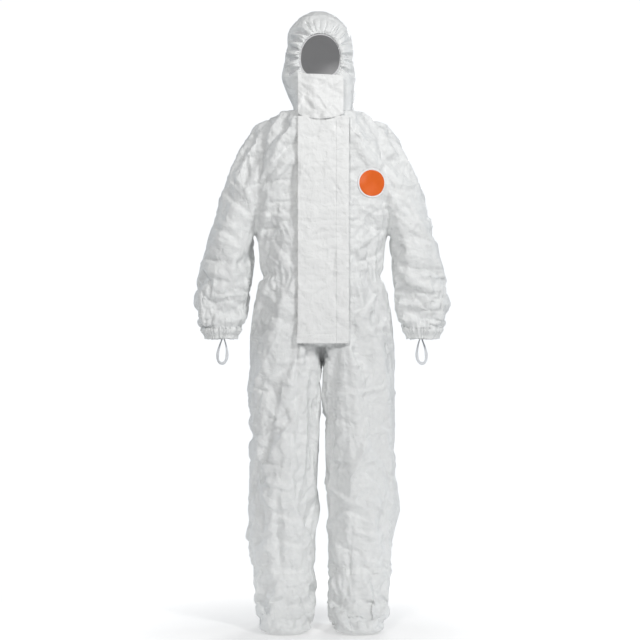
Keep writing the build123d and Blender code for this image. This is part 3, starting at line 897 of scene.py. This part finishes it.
def build_outer_flap():
    """The outer flap, with its hem and taped seam."""
    low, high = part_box("outer_storm_flap")
    plane = (low[1] + high[1]) / 2
    hem_top = low[2] + 0.026
    tape_left, tape_right = high[0] - 0.042, high[0] - 0.009

    def outer(x, z):
        wave = 0.0014 * math.sin(z * 19 + 1) + 0.0008 * math.sin(z * 47 + x * 20)
        free = max(0.0, (0.01 - x) / 0.08)
        edge = 0.0022 * free**2 * math.sin(z * 27 + 0.6)
        hem = 0.0013 if z < hem_top and x < tape_left - 0.004 else 0.0
        tape = 0.0009 if tape_left < x < tape_right else 0.0
        y = plane - 0.0036 - wave * 0.6 - edge - hem - tape
        return (x - 0.004 * float(smooth(0.93, low[2], z)) * free, y, z)

    across = with_steps(low[0], high[0] - 0.004, 0.0028, (tape_left, tape_right))
    up = with_steps(low[2], high[2], 0.0028, (hem_top,))
    flap = sheet_grid("outer_flap_fabric", across, up, outer, 0.0009)
    flap_creases(flap, 46, lambda p: 0.35 + 0.65 * smooth(hem_top, hem_top + 0.02, p[:, 2]))
    points = points_of(flap)
    seam = np.minimum(np.abs(points[:, 0] - tape_left), np.abs(points[:, 0] - tape_right))
    store(flap, "seam", np.where(points[:, 2] > hem_top, seam + 0.0095, no_seam))
    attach(flap, "outer_flap")
    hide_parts("outer_storm_flap")
    return flap


def build_inner_flap():
    """The inner flap, nearly flat behind the outer one."""
    low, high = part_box("inner_storm_flap")
    plane = (low[1] + high[1]) / 2

    def inner(x, z):
        return (x, plane + 0.0004 * math.sin(z * 23 + x * 30), z)

    across, up = with_steps(low[0], high[0], 0.004), with_steps(low[2], high[2], 0.004)
    under = sheet_grid("inner_flap_fabric", across, up, inner, 0.0007)
    store(under, "seam", np.full(len(under.data.vertices), no_seam))
    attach(under, "inner_flap")
    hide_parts("inner_storm_flap")
    return under


# Folds of the chin flap, in the same terms as the front folds
chin_folds = (
    ((-70, 1600), (-10, 1524), 20, -5, 1.5), ((-56, 1590), (6, 1540), 12, 4, 0.8),
    ((-14, 1590), (34, 1524), 8, 5, 1.7), ((0, 1572), (40, 1540), 9, -4, 1.3),
    ((20, 1606), (58, 1590), 13, -5, 1.2), ((-30, 1640), (10, 1632), 7, 3, 1.2),
    ((-66, 1646), (-20, 1652), 7, -2, 1.1), ((-60, 1625), (-16, 1606), 10, 3, 0.8),
    ((30, 1560), (58, 1536), 9, 4, 1.2),
)

def build_chin_flap():
    """The chin flap, bent round the chin, with its lower edge hanging in a curve."""
    low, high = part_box("chin_flap")
    bend = high[1] - low[1]
    middle, half = (low[0] + high[0]) / 2, (high[0] - low[0]) / 2

    def chin(x, z):
        side = (x - middle) / half
        rise = (z - low[2]) / (high[2] - low[2])
        bottom = low[2] - 0.004 - 0.016 * (1 - side**2)
        z = bottom + rise * (high[2] - 0.010 - 0.003 * side - bottom)
        bulge = 0.004 + 0.004 * (1 - rise) ** 2 + 0.003 * math.sin(rise * 7 + side) * (1 - side**2)
        return (x, low[1] + bend * side**2 - bulge, z)

    across, up = with_steps(low[0], high[0], 0.0024), with_steps(low[2], high[2], 0.0024)
    collar = sheet_grid("chin_flap_fabric", across, up, chin, 0.0009)
    points = points_of(collar)
    normals = np.tile(np.array([0.0, -1.0, 0.0]), (len(points), 1))
    folds = [laid_fold(points, *f) for f in chin_folds]
    points[:, 1] -= press_creases(points, normals, folds)
    set_points(collar, points)
    flap_creases(collar, 26)
    store(collar, "seam", np.abs(points[:, 0] - high[0] + 0.012) + 0.0095)
    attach(collar, "chin_flap")
    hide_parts("chin_flap")
    return collar


def laid_fold(points, start, end, width, rise, skew):
    """A listed fold, laid on a sheet that faces the front."""
    a, b = (np.array([x / 1000, points[:, 1].mean(), z / 1000]) for x, z in (start, end))
    half = (b - a) / 2
    length = np.linalg.norm(half)
    return ((a + b) / 2, half / length, length * 1.2, width / 1000, rise / 1000, skew)


def with_steps(low, high, step, edges=()):
    """Even places from low to high, with a close pair at each edge so that it stays crisp."""
    count = round((high - low) / step)
    places = [low + (high - low) * k / count for k in range(count + 1)]
    for edge in edges:
        places = [p for p in places if abs(p - edge) > step * 0.45]
        places += [edge - 0.0003, edge + 0.0003]
    return sorted(places)


# Cuffs and loops

# Profiles from the top down and back up inside: height above the hem, share of the full width, pleat height
cuff_profile = (
    (0.043, 0.86, 0.0018), (0.034, 0.93, 0.003), (0.027, 0.965, 0.0036), (0.020, 0.91, 0.0034),
    (0.014, 0.83, 0.003), (0.009, 0.79, 0.0026), (0.005, 0.785, 0.0024), (0.002, 0.785, 0.0022),
    (0.0, 0.775, 0.0020), (0.0002, 0.755, 0.0018), (0.003, 0.74, 0.0017), (0.008, 0.735, 0.0017),
    (0.014, 0.75, 0.0018), (0.022, 0.80, 0.002), (0.032, 0.84, 0.002),
)
inner_cuff_profile = (
    (0.084, 0.99, 0.001), (0.06, 0.93, 0.0014), (0.039, 0.85, 0.0018), (0.02, 0.80, 0.002),
    (0.008, 0.775, 0.002), (0.001, 0.765, 0.0018), (0.0, 0.755, 0.0016), (0.003, 0.735, 0.0016),
    (0.02, 0.74, 0.0016),
)


def build_cuffs():
    """Gathered outer cuffs with a turned hem, pleated inner cuffs inside them, and the loops."""
    made = []
    for side, sign in sides:
        cuff = pleated_tube(f"cuff_fabric_{side}", cuff_profile, f"outer_cuff_{side}", 27, 0.5 + sign)
        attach(cuff, f"forearm_{side}")
        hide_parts(f"outer_cuff_{side}", f"wrist_elastic_{side}")
        liner = pleated_tube(f"inner_cuff_fabric_{side}", inner_cuff_profile, f"inner_cuff_{side}", 21, sign)
        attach(liner, f"forearm_{side}")
        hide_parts(f"inner_cuff_{side}")
        made += [cuff, liner, build_loop(side, sign)]
    return made


def pleated_tube(name, profile, node, count, phase):
    """A pleated tube to a profile, as wide as a CAD node and standing on its lowest point."""
    low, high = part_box(node)
    middle = ((low[0] + high[0]) / 2, (low[1] + high[1]) / 2)
    wide, deep = (high[0] - low[0]) / 2, (high[1] - low[1]) / 2
    columns = 216
    heights = resample(profile, 34)
    vertices = []
    for rise, share, pleat in heights:
        for k in range(columns):
            angle = 2 * math.pi * k / columns
            out = float(pleats(np.array(angle + phase), count, 1.0)) * pleat
            x = middle[0] + (wide * share + out) * math.cos(angle)
            y = middle[1] + (deep * share + out) * math.sin(angle)
            drop = 0.0012 * math.sin(3 * angle + phase) + 0.0006 * math.sin(11 * angle)
            vertices.append((x, y, low[2] + rise + drop))
    tube = new_object(name, vertices, tube_faces(len(heights), columns, closed=False))
    tube.data.shade_smooth()
    store(tube, "seam", np.full(len(vertices), no_seam))
    return tube


def resample(profile, count):
    """Rows at even distances along a profile, on straight lines between its own."""
    rows = np.array(profile, float)
    half_width = 0.055
    steps = np.linalg.norm(np.diff(rows[:, :2] * np.array([1, half_width]), axis=0), axis=1)
    along = np.concatenate([[0], np.cumsum(steps)])
    even = np.linspace(0, along[-1], count)
    return np.stack([np.interp(even, along, rows[:, k]) for k in range(3)], axis=1)


def build_loop(side, sign):
    """A flat elastic loop whose two ends run up inside the cuff."""
    low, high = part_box(f"thumb_loop_{side}")
    top = Vector(joints[f"thumb_loop_swing_{side}"]["pos_m"])
    half = (high[0] - low[0]) / 2
    length = top.z - low[2]
    tape = (high[1] - low[1]) * 0.9
    steps = 72
    lean = 0.004 * sign
    vertices = []
    for k in range(steps + 1):
        share = k / steps
        angle = math.pi * (2 * share - 1)
        drop = (1 + math.cos(angle)) / 2
        x = half * math.sin(angle) * (0.30 + 0.7 * drop**0.7)
        z = 0.016 - (length + 0.016) * drop**0.86
        twist = math.radians(78) + 0.25 * math.sin(angle * 1.5 + sign)
        outward = Vector((x, 0, z + length * 0.62)).normalized()
        for edge in (-0.5, -0.17, 0.17, 0.5):
            across = (outward * math.sin(twist) + Vector((0, 1, 0)) * math.cos(twist)) * edge * tape
            vertices.append((top.x + x + lean * drop + across.x, top.y + across.y, top.z + z + across.z))
    corners = [4 * k + c for k in range(steps) for c in range(3)]
    faces = [(i, i + 1, i + 5, i + 4) for i in corners]
    loop = new_object(f"thumb_loop_elastic_{side}", vertices, faces)
    loop.data.shade_smooth()
    solid = loop.modifiers.new("thickness", "SOLIDIFY")
    solid.thickness = 0.0011
    solid.offset = 0
    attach(loop, f"thumb_loop_{side}")
    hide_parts(f"thumb_loop_{side}")
    return loop


# Materials


class Shader:
    """A Principled material with short helpers for its nodes."""

    def __init__(self, name, **sockets):
        self.material = bpy.data.materials.new(name)
        self.material.use_nodes = True
        self.tree = self.material.node_tree
        self.main = self.tree.nodes["Principled BSDF"]
        for socket, value in sockets.items():
            self.main.inputs[socket.replace("_", " ").title().replace("Ior", "IOR")].default_value = value
        self.place = self.tree.nodes.new("ShaderNodeTexCoord").outputs["Object"]

    def node(self, kind, inputs=(), **settings):
        made = self.tree.nodes.new(kind)
        for key, value in settings.items():
            setattr(made, key, value)
        for key, value in dict(inputs).items():
            if hasattr(value, "is_output"):
                self.tree.links.new(value, made.inputs[key])
            else:
                made.inputs[key].default_value = value
        return made

    def noise(self, scale, detail, output="Fac"):
        inputs = {"Scale": scale, "Detail": detail, "Vector": self.place}
        return self.node("ShaderNodeTexNoise", inputs).outputs[output]

    def times(self, a, b):
        return self.node("ShaderNodeMath", {0: a, 1: b}, operation="MULTIPLY").outputs[0]

    def vector(self, operation, a, b, output="Vector"):
        return self.node("ShaderNodeVectorMath", {0: a, 1: b}, operation=operation).outputs[output]

    def facets(self, scale, place):
        """A height of tilted flat patches, each one level along its edges."""
        inputs = {"Scale": scale, "Vector": place}
        patch = self.node("ShaderNodeTexVoronoi", inputs)
        tilt = self.vector("SUBTRACT", patch.outputs["Color"], (0.5, 0.5, 0.5))
        offset = self.vector("SUBTRACT", place, patch.outputs["Position"])
        slope = self.vector("DOT_PRODUCT", offset, tilt, "Value")
        gap = self.node("ShaderNodeTexVoronoi", inputs, feature="DISTANCE_TO_EDGE").outputs["Distance"]
        return self.times(slope, self.mapped(gap, 0.0, 0.3))

    def mapped(self, value, low, high, to_low=0.0, to_high=1.0):
        return self.node(
            "ShaderNodeMapRange",
            {"Value": value, "From Min": low, "From Max": high, "To Min": to_low, "To Max": to_high},
        ).outputs["Result"]

    def blend(self, factor, a, b):
        made = self.node("ShaderNodeMix", data_type="RGBA")
        for key, value in ((0, factor), (6, a), (7, b)):
            if hasattr(value, "is_output"):
                self.tree.links.new(value, made.inputs[key])
            else:
                made.inputs[key].default_value = value
        return made.outputs[2]

    def bump(self, height, distance, strength=1.0, under=None):
        made = self.node("ShaderNodeBump", {"Height": height, "Distance": distance, "Strength": strength})
        if under is not None:
            self.tree.links.new(under, made.inputs["Normal"])
        return made.outputs["Normal"]

    def link(self, value, socket):
        self.tree.links.new(value, self.main.inputs[socket])


def fabric_material(name, light, shade, tape=True, relief=1.0):
    """Coated nonwoven: short crossing creases, a soft mottle, a fine embossed grain and taped seams."""
    shader = Shader(name, roughness=0.48)
    shader.main.inputs["Specular IOR Level"].default_value = 0.35
    shader.main.inputs["Sheen Weight"].default_value = 0.08
    wobble = shader.vector("MULTIPLY", shader.noise(9, 3, "Color"), (0.05, 0.05, 0.05))
    place = shader.vector("ADD", shader.place, wobble)
    mottle = shader.noise(60, 5)
    color = shader.blend(shader.mapped(mottle, 0.3, 0.7), shade, light)
    normal = shader.bump(shader.facets(22, place), 1.0, 0.3 * relief)
    normal = shader.bump(shader.facets(55, place), 1.0, 0.26 * relief, normal)
    normal = shader.bump(shader.facets(130, place), 1.0, 0.22 * relief, normal)
    normal = shader.bump(shader.noise(1300, 2), 0.0001, 0.6, normal)
    if tape:
        near = shader.node("ShaderNodeAttribute", attribute_name="seam").outputs["Fac"]
        edge = shader.mapped(near, 0.0098, 0.0086)
        normal = shader.bump(edge, 0.0007, 1.0, normal)
        line = shader.mapped(near, 0.0008, 0.0002)
        normal = shader.bump(line, 0.0006, 0.8, normal)
        taped = tuple(min(1, c * 1.03) for c in light[:3]) + (1,)
        color = shader.blend(shader.mapped(edge, 0, 1, 0, 0.6), color, taped)
    shader.link(color, "Base Color")
    shader.link(shader.mapped(shader.noise(45, 3), 0.3, 0.7, 0.38, 0.58), "Roughness")
    shader.link(normal, "Normal")
    return shader.material


def painted_shade_lining_material():
    """The hood's inside in painted shade: grey for the white inside lying in shadow, with a faint mottle and a
    faint painted glow.
    """
    shader = Shader("hood inside, painted shade and glow", roughness=0.9)
    shader.main.inputs["Specular IOR Level"].default_value = 0.1
    # painted shade: the grey stands for the hood's white inside lying in shadow
    color = shader.blend(shader.noise(12, 3), (0.5, 0.5, 0.51, 1), (0.56, 0.56, 0.57, 1))
    shader.link(color, "Base Color")
    # a faint painted glow that lifts the painted shade inside the hood
    shader.main.inputs["Emission Color"].default_value = (1, 1, 1, 1)
    shader.main.inputs["Emission Strength"].default_value = 0.08
    shader.link(shader.bump(shader.noise(300, 3), 0.0002, 0.3), "Normal")
    return shader.material


def woven_material(name, light, dark, scale):
    """Narrow woven or knitted tape: crossing ribs with a little unevenness."""
    shader = Shader(name, roughness=0.8)
    inputs = {"Scale": scale, "Distortion": 0.3, "Vector": shader.place}
    ribs = [shader.node("ShaderNodeTexWave", inputs, bands_direction=axis) for axis in ("X", "Z")]
    weave = shader.times(ribs[0].outputs["Fac"], ribs[1].outputs["Fac"])
    color = shader.blend(shader.mapped(weave, 0, 0.7), dark, light)
    shader.link(color, "Base Color")
    normal = shader.bump(weave, 0.0003, 0.6)
    shader.link(shader.bump(shader.noise(900, 2), 0.0001, 0.4, normal), "Normal")
    return shader.material


def plastic_material(name, light, dark, rough, grain=400):
    """Moulded plastic, printed film or lacquer with a slight unevenness."""
    shader = Shader(name, roughness=rough)
    color = shader.blend(shader.noise(grain * 0.2, 4), dark, light)
    shader.link(color, "Base Color")
    shader.link(shader.mapped(shader.noise(grain, 3), 0.3, 0.7, rough * 0.8, rough * 1.2), "Roughness")
    shader.link(shader.bump(shader.noise(grain, 3), 0.00012, 0.4), "Normal")
    return shader.material


def dress(obj, material):
    obj.data.materials.clear()
    obj.data.materials.append(material)


def dress_nodes():
    """Finishes for the CAD pieces that stay, by the record's slots."""
    plastics = {
        "seam_tape": ("seam tape", (0.88, 0.885, 0.88, 1), (0.82, 0.83, 0.83, 1), 0.4),
        "zip_plastic": ("zip teeth", (0.84, 0.84, 0.83, 1), (0.74, 0.74, 0.73, 1), 0.35, 700),
        "zip_metal": ("lacquered slider", (0.82, 0.82, 0.81, 1), (0.7, 0.7, 0.7, 1), 0.28, 900),
        "release_paper": ("release paper", (0.9, 0.885, 0.83, 1), (0.84, 0.82, 0.76, 1), 0.3, 250),
        "badge_orange": ("badge print", (0.86, 0.155, 0.012, 1), (0.80, 0.125, 0.01, 1), 0.42, 350),
        "badge_white": ("badge border", (0.92, 0.92, 0.92, 1), (0.87, 0.87, 0.87, 1), 0.42, 350),
    }
    weaves = {
        "elastic": ("covered elastic", (0.82, 0.83, 0.82, 1), (0.6, 0.61, 0.6, 1), 260),
        "loop_elastic": ("loop elastic", (0.88, 0.89, 0.9, 1), (0.7, 0.72, 0.75, 1), 240),
        "zip_cloth": ("zip tape", (0.86, 0.86, 0.85, 1), (0.66, 0.66, 0.65, 1), 300),
        "label_cloth": ("label cloth", (0.9, 0.9, 0.89, 1), (0.72, 0.72, 0.71, 1), 320),
    }
    plain = fabric_material("suit laminate, plain", laminate_light, laminate_shade, tape=False)
    looks = {"suit_fabric": plain}
    looks.update((slot, plastic_material(*row)) for slot, row in plastics.items())
    looks.update((slot, woven_material(*row)) for slot, row in weaves.items())
    slots = {p["node"]: p["material_slot"] for p in frame["record"]["subparts"]}
    for name, node in frame["nodes"].items():
        dress(node, looks[slots[name]])
    return looks


# Studio


def softbox(name, place, target, size, power, tint=(1, 1, 1)):
    light = bpy.data.lights.new(name, "AREA")
    light.shape = "RECTANGLE"
    light.size, light.size_y = size
    light.energy = power
    light.color = tint
    made = bpy.data.objects.new(name, light)
    made.location = place
    made.rotation_euler = (Vector(target) - Vector(place)).to_track_quat("-Z", "Y").to_euler()
    scene.collection.objects.link(made)


def build_floor():
    """A pale disc that brightens outwards, so that its edge doesn't show."""
    radius, count = 1.15, 96
    turns = [2 * math.pi * k / count for k in range(count)]
    rim = [(radius * math.cos(t), radius * math.sin(t), 0) for t in turns]
    floor = new_object("floor", rim, [range(count)])
    shader = Shader("floor", roughness=0.9)
    color = shader.blend(shader.noise(3, 2), (0.62, 0.62, 0.62, 1), (0.66, 0.66, 0.66, 1))
    shader.link(color, "Base Color")
    shader.main.inputs["Emission Color"].default_value = (1, 1, 1, 1)
    out = shader.node("ShaderNodeVectorMath", {0: shader.place}, operation="LENGTH").outputs["Value"]
    shader.link(shader.mapped(out, 0.2, 1.1, 0.3, 0.8), "Emission Strength")
    dress(floor, shader.material)


def build_world():
    """A white background for the camera, and a much dimmer one for the light that reaches the suit."""
    world = bpy.data.worlds.new("white room")
    scene.world = world
    world.use_nodes = True
    nodes, links = world.node_tree.nodes, world.node_tree.links
    seen = nodes.new("ShaderNodeLightPath").outputs["Is Camera Ray"]
    strength = nodes.new("ShaderNodeMapRange")
    strength.inputs["To Min"].default_value = 0.27
    strength.inputs["To Max"].default_value = 1.05
    links.new(seen, strength.inputs["Value"])
    links.new(strength.outputs["Result"], nodes["Background"].inputs["Strength"])
    nodes["Background"].inputs["Color"].default_value = (0.96, 0.98, 1, 1)
    scene.view_settings.view_transform = "Standard"


def build_camera():
    """The camera, level with the middle of the suit and square to its front."""
    low, high = (Vector(c) for c in cad_box)
    middle = (low + high) / 2
    distance = 5.35
    camera = bpy.data.cameras.new("camera")
    camera.sensor_width = 36
    camera.lens = 100
    view = bpy.data.objects.new("camera", camera)
    view.location = (middle.x - 0.006, middle.y - distance, middle.z - 0.002)
    view.rotation_euler = (math.pi / 2, 0, 0)
    scene.collection.objects.link(view)
    scene.camera = view


def build_studio():
    cool = (0.88, 0.94, 1)
    build_floor()
    build_world()
    softbox("key", (1.75, -2.2, 2.5), (0, 0, 1.25), (0.5, 0.8), 39)
    softbox("front", (-0.55, -2.6, 2.5), (0, 0, 1.35), (0.5, 0.5), 26, (1, 0.99, 0.975))
    softbox("rim left", (-2.3, 1.2, 1.3), (0, 0, 1.0), (0.6, 2.4), 16, cool)
    softbox("rim right", (2.3, 1.2, 1.3), (0, 0, 1.0), (0.6, 2.4), 14, cool)
    softbox("back", (0.8, 3.4, 2.2), (0, 0, 1.1), (1.2, 1.2), 46)
    build_camera()


# The build

# The CAD nodes that each cut of fabric stands for
replaced = {
    "torso": ("front_panel_left", "front_panel_right", "back_panel", "waist_elastic", "crotch_gusset",
              "flap_seam_tape"),
    "upper_sleeve": ("shoulder_cap", "upper_sleeve"),
    "lower_sleeve": ("elbow_section", "lower_sleeve"),
    "upper_leg": ("hip_section", "thigh"),
    "lower_leg": ("knee_section", "shin", "ankle_elastic"),
    "sock": ("sock_ankle", "sock_foot"),
}


def calm_badge(skin):
    """Smooths the fabric under the chest patch, so that the patch can lie flat on it."""
    points = points_of(skin)
    middle = (np.array(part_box("badge_border")[0]) + np.array(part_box("badge_border")[1])) / 2
    calm = neighbour_mean(skin, points, 40)
    gap = np.hypot(points[:, 0] - middle[0], points[:, 2] - middle[2])
    weight = (1 - smooth(0.044, 0.066, gap)) * (points[:, 1] < 0)
    set_points(skin, points + (calm - points) * weight[:, None])


def build_badge(skin, looks):
    """A plain round patch with a raised border, laid on the fabric of the chest."""
    tree = tree_of(skin)
    low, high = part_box("badge_border")
    inner_low, inner_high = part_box("chest_badge")
    middle = ((low[0] + high[0]) / 2, (low[2] + high[2]) / 2)
    edge, inner_edge = (high[2] - low[2]) / 2, (inner_high[2] - inner_low[2]) / 2
    lift, border_lift, sunk = 0.0012, 0.0017, 0.0007
    across = [(inner_edge * k / 14, lift) for k in range(15)]
    border = [(r, border_lift) for r in (inner_edge, (inner_edge + edge) / 2, edge)]
    border = [(inner_edge - 0.0006, sunk), *border, (edge + 0.0003, sunk)]
    lay_print(tree, middle, "chest_badge", across, "badge_orange", looks)
    lay_print(tree, middle, "badge_border", border, "badge_white", looks)


def lay_print(tree, middle, node, rings, slot, looks):
    """A round print from rings of a radius and a lift off the fabric."""
    count = 96
    vertices = []
    for radius, lift in rings:
        for k in range(count):
            turn = 2 * math.pi * k / count
            x = middle[0] + radius * math.cos(turn) * 0.97
            z = middle[1] + radius * math.sin(turn)
            hit, normal, _, _ = tree.ray_cast((x, front_y - 0.2, z), (0, 1, 0))
            vertices.append(hit + normal * lift)
    patch = new_object(f"{node}_print", vertices, tube_faces(len(rings), count, closed=False))
    patch.data.shade_smooth()
    solid = patch.modifiers.new("thickness", "SOLIDIFY")
    solid.thickness = 0.0006
    solid.offset = -1
    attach(patch, "torso")
    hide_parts(node)
    dress(patch, looks[slot])


def open_ends(skin):
    """Takes away the skin over the neck and below the cuffs, where the hood and the cuffs take over."""
    points = points_of(skin)
    height, past = fetch(skin, "height"), fetch(skin, "past_armhole")
    near_neck = np.hypot(points[:, 0], points[:, 1]) < 0.082
    keep = ~((height > neck_z - 0.006) & near_neck) & ~((past > 0) & (height < cuff_z - 0.006))
    trim_faces(skin, keep)


def build_suit(looks):
    skin = grow_skin()
    chart(skin)
    wrinkle(skin)
    refine(skin)
    gather(skin)
    crumple(skin)
    calm_badge(skin)
    open_ends(skin)
    build_badge(skin, looks)
    pieces = cut_panels(skin)
    for name, piece in pieces.items():
        base, _, side = name.rpartition("_")
        if side in ("left", "right"):
            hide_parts(*(f"{node}_{side}" for node in replaced[base]))
        else:
            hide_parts(*replaced[name])
    hood = build_hood()
    inside = build_lining()
    flaps = (build_outer_flap(), build_inner_flap(), build_chin_flap())
    cuffs = build_cuffs()
    laminate = fabric_material("suit laminate", laminate_light, laminate_shade)
    smoother = fabric_material(
        "suit laminate, flaps", (0.88, 0.885, 0.88, 1), (0.84, 0.845, 0.84, 1), relief=0.9)
    for piece in (*pieces.values(), hood, *cuffs):
        dress(piece, looks["loop_elastic"] if "loop" in piece.name else laminate)
    for piece in flaps:
        dress(piece, smoother)
    dress(inside, painted_shade_lining_material())


build_studio()
build_suit(dress_nodes())
